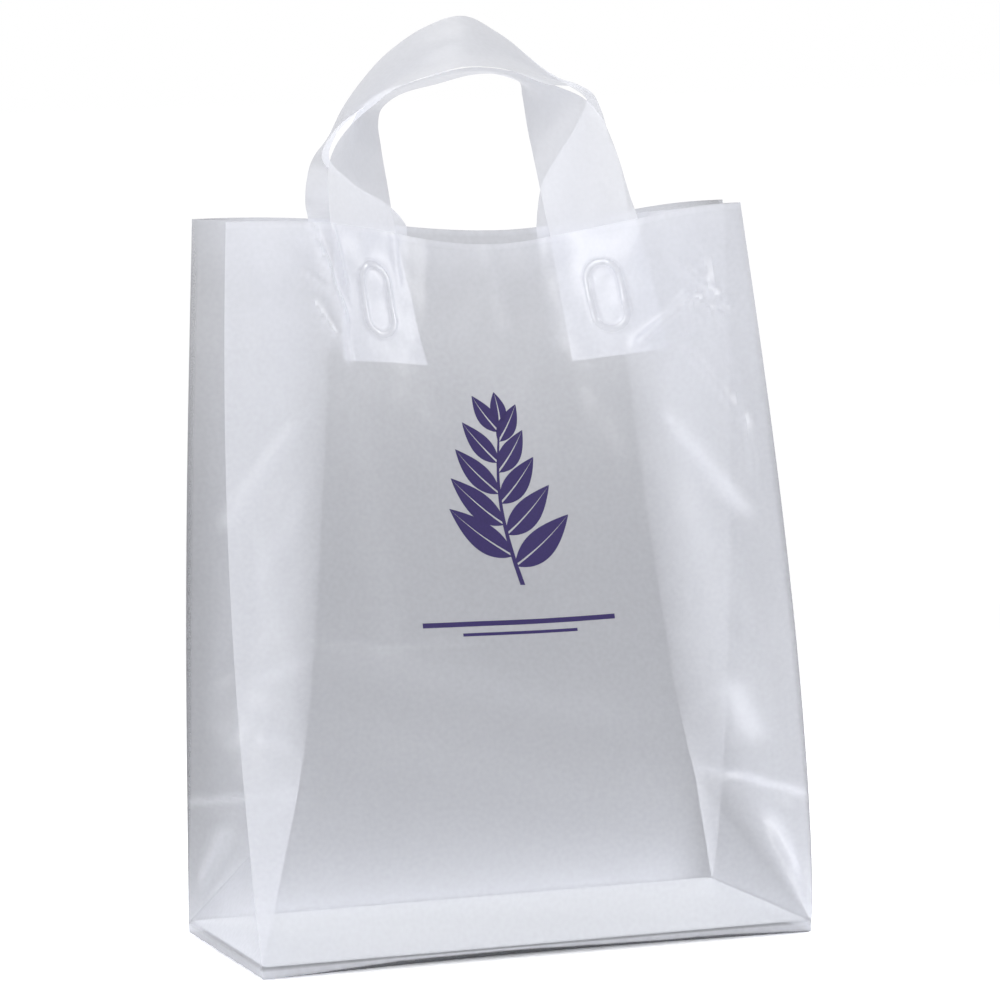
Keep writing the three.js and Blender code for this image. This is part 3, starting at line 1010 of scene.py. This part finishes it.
@dataclass(frozen=True)
class Body:
    """The bag's film: two panels, two gussets and the folded square bottom, as one sheet."""

    columns: int = 161
    half_columns: int = 23
    facet_columns: int = 31
    low_rows: int = 32
    middle_rows: int = 76
    top_rows: int = 81
    weld_foot: float = 235.0
    weld_middle: float = 3.0
    weld_place: float = 56.0
    weld_reach: float = 26.0
    weld_share: float = 2.4
    foot_corner: float = 1.5
    foot_middle: float = 10.0

    def heights(self) -> Array:
        """Film heights of the rows, closer together below the apex."""
        low = np.linspace(0, HALF_GUSSET, self.low_rows)
        middle = np.linspace(HALF_GUSSET, self.weld_foot, self.middle_rows)[1:]
        high = np.linspace(self.weld_foot, PANEL_HEIGHT, self.top_rows)[1:]
        return np.concatenate([low, middle, high])

    def panel(self, panel: Panel, strip: Strip) -> Grid:
        """A panel's grid, denser where a strip's weld lines show on its outside."""
        across = self.places()[None, :]
        film = self.heights()[:, None]
        bead = strip.bead(across, film)
        points = panel.at(across, film, -strip.weld_rise * bead)
        rim = smoothstep(film, PANEL_HEIGHT - 3.2, PANEL_HEIGHT - 1.6)
        # Denser, so brighter, towards the foot: painted glow of light bounced off the board.
        fullness = painted_board_glow(film, panel.painted_glow_gain) + 0.2 * rim
        # Denser on the ridges: partly creased film whitening, partly a painted highlight.
        fullness = fullness + 0.25 * panel.crease_whitening_and_highlight(across, film)
        # Denser, so brighter, in rim_span under the mouth: painted light.
        fullness = fullness + panel.painted_rim_light * smoothstep(film, *panel.rim_span) - 0.2 * bead
        side = np.minimum(across, 1 - across) * PANEL_WIDTH / panel.side_fade
        fullness = fullness * (1 - panel.side_drop * np.exp(-(side**2)))
        return Grid(points, {"fullness": fullness, "melt": bead}, panel.face > 0)

    def places(self) -> Array:
        """Places of the columns across a panel, closer together where a strip is welded."""
        even = np.linspace(0, 1, 801)
        x = (even - 0.5) * PANEL_WIDTH
        close = np.abs(np.abs(x - self.weld_middle) - self.weld_place) < self.weld_reach
        weight = np.cumsum(np.where(close, self.weld_share, 1.0))
        weight = (weight - weight[0]) / (weight[-1] - weight[0])
        return np.interp(np.linspace(0, 1, self.columns), weight, even)

    def underside(self) -> list[Grid]:
        """The turned-in foot and the bottom.

        Between two corners a foot point lies below its crease point, moved in by 1.5 mm at
        the corners and 10 mm in the middle; the bottom is the straight blend between the
        front and back feet, at z = 0.
        """
        edges = (FRONT_LEFT, FRONT_RIGHT, BACK_RIGHT, BACK_LEFT)
        ring = [edge.at(np.array(0.0)) for edge in edges]
        lip = np.linspace(0, 1, 4)[:, None, None]
        under = np.linspace(0, 1, 6)[1:, None, None]
        grids, feet = [], []
        even = np.linspace(0, 1, self.facet_columns)
        steps = (self.places(), even, 1 - self.places()[::-1], even)
        for k, step in enumerate(steps):
            start, end = ring[k], ring[(k + 1) % 4]
            t = step[:, None]
            crease = mix(start, end, t)
            along = unit(end - start)
            inwards = np.array([-along[1], along[0], 0.0])
            depth = mix(self.foot_corner, self.foot_middle, np.sin(np.pi * t))
            foot = crease + inwards * depth + along * self.foot_corner * (1 - 2 * t)
            foot[:, 2] = 0.0
            shown = np.interp(t[:, 0], *FRONT_LIP) if k == 0 else np.full(len(t), 0.9)
            lip_foot = mix(crease, foot, 0.06)
            lip_foot[:, 2] = CREASE_HEIGHT * (1 - shown)
            rows = np.concatenate([mix(crease, lip_foot, lip), mix(lip_foot, foot, under)])
            x, y = crease[:, 0] + rows[..., 2] * 2, crease[:, 1] + rows[..., 2] * 5
            crumple = ripples(x, y, 71 + k, 8, 7, 26)
            middle = hump(np.linspace(0, 1, len(rows)))[:, None] * hump(t[:, 0]) ** 0.15
            rows = rows - inwards * (0.45 * crumple * middle)[..., None]
            feet.append(foot)
            # Density from FOOT_PAINTED_LIGHT_AND_SHADOW: painted light on the lip, and painted
            # shadow under it where the dark floor shows through.
            fullness = np.array(FOOT_PAINTED_LIGHT_AND_SHADOW)[:, None] + 0 * rows[..., 0]
            grids.append(Grid(rows, {"fullness": fullness}, True))
        front, right, back, left = feet[0], feet[1], feet[2][::-1], feet[3][::-1]
        u, v = self.places()[None, :, None], even[:, None, None]
        corners = mix(mix(front[0], front[-1], u), mix(back[0], back[-1], u), v)
        sheet = mix(front[None], back[None], v) + mix(left[:, None], right[:, None], u) - corners
        grids.append(Grid(sheet, {"fullness": np.ones(sheet.shape[:2])}, True))
        return grids

    def build(self) -> Piece:
        """The whole body as one object."""
        heights = self.heights()
        grids = [self.panel(FRONT, FRONT_STRIP), self.panel(BACK, BACK_STRIP)]
        for gusset in (RIGHT_GUSSET, LEFT_GUSSET):
            grids += gusset.grids(heights, self.half_columns, self.facet_columns)
        grids += self.underside()
        return mesh_object("film_bag", grids)


# ---- the print


@dataclass(frozen=True)
class LeafPrint:
    """A plain sprig of leaves over a double rule, printed on the front panel.

    Places are in millimetres on the flat panel, x from its middle and z from the table;
    stem_top and stem_foot are the sprig's ends and bow how far it curves to the side.
    """

    centre: float = 4.0
    stem_foot: float = 163.0
    stem_top: float = 238.0
    bow: float = 5.0
    pairs: int = 5
    outside: float = 0.12

    def place(self, x: Array, z: Array) -> Array:
        """Flat places laid on the panel, a little outside it."""
        across = x / PANEL_WIDTH + 0.5
        film = (z - CREASE_HEIGHT) / STANDING_SHARE
        return FRONT.at(across, film, -self.outside)

    def stem_at(self, t: Array) -> tuple[Array, Array]:
        """The stem's middle line, bowed by bow * sin(pi t)."""
        x = self.centre - self.bow * np.sin(np.pi * t)
        return x, mix(self.stem_foot, self.stem_top, t)

    def stem(self) -> Grid:
        """The stem, tapering from 1.1 to 0.4 mm to either side."""
        t = np.linspace(0, 1, 60)[:, None]
        s = np.linspace(-1, 1, 3)[None, :]
        x, z = self.stem_at(t)
        return self.flat(x + s * mix(1.1, 0.4, t), z + 0 * s)

    def leaf(
        self, root: tuple[float, float], angle: float, length: float, width: float
    ) -> list[Grid]:
        """Two halves of a leaf with its midrib left bare.

        Its half width is width * sin(pi t^0.8)^0.9 and it bends by 12% of its length.

        Args:
            root: place of its stalk.
            angle: direction in degrees, 90 being up.
            length, width: size in millimetres.

        Returns:
            One grid per half.
        """
        t = np.linspace(0, 1, 30)[:, None]
        turn = math.radians(angle)
        along = np.array([math.cos(turn), math.sin(turn)])
        aside = np.array([-along[1], along[0]])
        bend = 0.12 * length * t**2 * (1 if along[0] > 0 else -1)
        half = width * np.sin(np.pi * t**0.8) ** 0.9
        rib = 0.45 * (1 - t)
        made = []
        for side in (-1, 1):
            s = np.linspace(0, 1, 7)[None, :]
            reach = side * (rib + np.maximum(half - rib, 0.02) * s) + bend
            x = root[0] + along[0] * t * length + aside[0] * reach
            z = root[1] + along[1] * t * length + aside[1] * reach
            made.append(self.flat(x, z, flip=side > 0))
        return made

    def flat(self, x: Array, z: Array, flip: bool = False) -> Grid:
        """A grid of flat places laid on the panel."""
        return Grid(self.place(x, z), flip=flip)

    def rule(self, middle: float, length: float, height: float, z: float) -> Grid:
        """A plain bar."""
        x = np.linspace(middle - length / 2, middle + length / 2, 60)[None, :]
        up = np.linspace(z - height / 2, z + height / 2, 3)[:, None]
        return self.flat(x + np.zeros((3, 1)), up + 0 * x)

    def build(self) -> Piece:
        """The whole print as one thin object."""
        grids = [self.stem()]
        for k in range(self.pairs):
            t = 0.12 + 0.76 * k / (self.pairs - 1)
            length, width = 34 - 3.6 * k, 6.6 - 0.6 * k
            for place, angle in ((t, 32 + 5 * k), (t + 0.06, 148 - 5 * k)):
                x, z = (float(value) for value in self.stem_at(np.array(place)))
                grids += self.leaf((x, z), angle, length, width)
        grids += self.leaf((self.centre, self.stem_top - 1), 86, 15, 3.6)
        grids.append(self.rule(0.5, 87, 2.2, 146.5))
        grids.append(self.rule(0.5, 52, 1.4, 141.8))
        return mesh_object("leaf_print", grids, weld=0.002, sharp=180)


# ---- studio


LAMP_TARGET = 0.19
FLOOR_DROP = 0.35


class Through(Enum):
    """What a camera ray sees past the bag: straight, or through film, where the floor glows dark
    grey, darkest near the bag, as painted shade.
    """

    STRAIGHT = 1.0
    NEAR_PAINTED_SHADE = 0.05
    FAR = 0.26


@dataclass(frozen=True)
class Softbox:
    """A square area lamp that points at the bag."""

    name: str
    place: tuple[float, float, float]
    size: float
    share: float
    tall: float = 1.0

    def make(self) -> None:
        """Adds the lamp; share is the light it gives at the bag as a share of full white."""
        away = np.array(self.place) - np.array([0.0, 0.0, LAMP_TARGET])
        distance = float(np.linalg.norm(away))
        lamp = bpy.data.lights.new(self.name, "AREA")
        lamp.shape = "RECTANGLE"
        lamp.size, lamp.size_y = self.size, self.size * self.tall
        lamp.energy = self.share * math.pi**2 * distance**2
        made = bpy.data.objects.new(self.name, lamp)
        back = unit(away)
        right = unit(np.cross([0, 0, 1.0], back))
        made.matrix_world = turned(right, np.cross(back, right), back, self.place)
        bpy.context.scene.collection.objects.link(made)


@dataclass(frozen=True)
class Studio:
    """Floor, backdrop light, lamps and camera."""

    azimuth: float = -17.8467
    elevation: float = 5.1924
    roll: float = -1.6676
    distance: float = 2.2
    lens: float = 176.86
    target: tuple[float, float, float] = (0.0072887, 0.0, 0.1956361)
    ambient: float = 0.27
    floor_radius: tuple[float, float] = (10.0, 40000.0)
    white_from: tuple[float, float] = (0.45, 1.3)
    far_from: tuple[float, float] = (1.5, 5.0)
    lamps: tuple[Softbox, ...] = (
        Softbox("left_box", (-1.7, -0.75, 0.75), 0.5, 0.28, 1.8),
        Softbox("right_box", (1.7, -0.55, 0.75), 0.4, 0.22, 1.8),
        Softbox("top_box", (-0.1, 0.45, 2.1), 0.9, 0.38),
        Softbox("front_box", (-0.6, -2.1, 1.6), 0.25, 0.12),
    )

    def seen(self, nodes: Nodes) -> tuple[Wire, Wire]:
        """Shares of rays: seen straight by camera, gloss or glass; and seen through film."""
        node = nodes.tree.nodes.new("ShaderNodeLightPath")
        labels = ("Is Camera Ray", "Is Glossy Ray", "Is Transmission Ray", "Transparent Depth")
        camera, gloss, glass, depth = (Wire(nodes, node.outputs[label]) for label in labels)
        behind = depth.above(0.5)
        return (camera * (1 - behind)).most(gloss).most(glass), camera * behind

    def world(self) -> None:
        """White where the camera looks past the bag, grey through film, and even light."""
        world = bpy.data.worlds.new("studio")
        bpy.context.scene.world = world
        world.use_nodes = True
        nodes = Nodes(world.node_tree, "ShaderNodeOutputWorld")
        straight, _ = self.seen(nodes)
        level = straight * (Through.STRAIGHT.value - self.ambient) + self.ambient
        shade = nodes.add("ShaderNodeBackground", {}, {"Color": (1, 1, 1, 1), "Strength": level})
        nodes.surface(shade)

    def floor(self) -> None:
        """A large pale disc a hair below the bag that keeps its shadow."""
        turn = np.linspace(0, 2 * np.pi, 97)[None, :]
        radius = np.geomspace(*self.floor_radius, 24)[:, None]
        level = np.zeros_like(radius * turn) - FLOOR_DROP
        points = np.stack([radius * np.cos(turn), radius * np.sin(turn), level], -1)
        made = mesh_object("studio_floor", [Grid(points, flip=True)], sharp=180)
        paint, nodes = material("pale_floor")
        paint.cycles.emission_sampling = "NONE"
        straight, behind = self.seen(nodes)
        plain = nodes.add("ShaderNodeBsdfDiffuse", {}, {"Color": (0.82, 0.82, 0.82, 1)})
        bright = nodes.add("ShaderNodeBsdfDiffuse", {}, {"Color": (1.75, 1.75, 1.75, 1)})
        place = nodes.place()
        far = nodes.add("ShaderNodeVectorMath", {"operation": "LENGTH"}, {0: place}, "Value")
        # Seen through film the floor glows dark grey, 0.05 within 1.5 m of the bag rising to 0.26
        # at 5 m: painted shade, which darkens the bag's body towards its foot and makes the
        # painted shadow under the front lip.
        low, high = Through.NEAR_PAINTED_SHADE.value, Through.FAR.value
        level = far.ramp(*self.far_from) * (high - low) + low
        grey = nodes.add("ShaderNodeEmission", {}, {"Color": (1, 1, 1.02, 1), "Strength": level})
        white = nodes.add("ShaderNodeEmission", {}, {"Color": (1, 1, 1, 1), "Strength": 1.02})
        clean = nodes.blend(far.ramp(*self.white_from), bright, white)
        nodes.surface(nodes.blend(behind, nodes.blend(straight, plain, clean), grey))
        made.data.materials.append(paint)

    def camera(self) -> None:
        """A long lens at the photograph's angle, turned a little about its own axis."""
        a, e, r = (math.radians(v) for v in (self.azimuth, self.elevation, self.roll))
        back = np.array([math.sin(a) * math.cos(e), -math.cos(a) * math.cos(e), math.sin(e)])
        right = np.array([math.cos(a), math.sin(a), 0.0])
        up = np.cross(back, right)
        lens = bpy.data.cameras.new("camera")
        lens.lens, lens.sensor_width = self.lens, 36.0
        made = bpy.data.objects.new("camera", lens)
        place = np.array(self.target) + back * self.distance
        rolled = math.cos(r) * right + math.sin(r) * up, math.cos(r) * up - math.sin(r) * right
        made.matrix_world = turned(*rolled, back, place)
        bpy.context.scene.collection.objects.link(made)
        bpy.context.scene.camera = made

    def build(self) -> None:
        """Adds all of it and sets the plain view transform."""
        bpy.context.scene.view_settings.view_transform = "Standard"
        self.camera()
        self.world()
        self.floor()
        for lamp in self.lamps:
            lamp.make()
        LOG.info("studio: %d lamps", len(self.lamps))


# ---- the bag


BAG_FILM = FilmFinish(
    "frosted_film", (0.885, 0.90, 0.965), 0.31, 0.35, 0.37, 0.10, 0.00003, 500, 1.0, 2.0
)
STRIP_FILM = FilmFinish(
    "handle_film", (0.88, 0.89, 0.935), 0.76, 0.40, 0.42, 0.05, 0.00003, 500, 0.6, 1.5
)
INK = InkFinish("print_ink", (0.024, 0.012, 0.105), (0.032, 0.017, 0.13), 0.5)
CARD = CardFinish("white_board", (0.93, 0.945, 0.97), (0.90, 0.915, 0.945), 0.72)


@dataclass
class CarrierBag:
    """The bag with its handles, base board and print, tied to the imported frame."""

    nodes: dict[str, Piece]

    def dress(self, piece: Piece, finish: Material) -> None:
        """Gives a piece this finish alone."""
        piece.data.materials.clear()
        piece.data.materials.append(finish)

    def build(self) -> None:
        """Builds and dresses each piece, and attaches the new ones to the root body."""
        film, strip = BAG_FILM.make(), STRIP_FILM.make()
        body = Body().build()
        self.dress(body, film)
        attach(body, "root")
        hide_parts("bag_body")
        for handle, node in ((FRONT_STRIP, "front_handle"), (BACK_STRIP, "back_handle")):
            made = handle.build()
            self.dress(made, strip)
            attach(made, "root")
            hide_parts(node)
        ink = LeafPrint().build()
        self.dress(ink, INK.make())
        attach(ink, "root")
        board = self.nodes["base_board"]
        self.dress(board, CARD.make())
        LOG.info("base_board: %d faces", len(board.data.polygons))


def main() -> None:
    """Builds the bag and its studio round the frame."""
    logging.basicConfig(level=logging.INFO, format="%(name)s: %(message)s")
    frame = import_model()
    Studio().build()
    CarrierBag(frame["nodes"]).build()


if __name__ == "__main__":
    main()
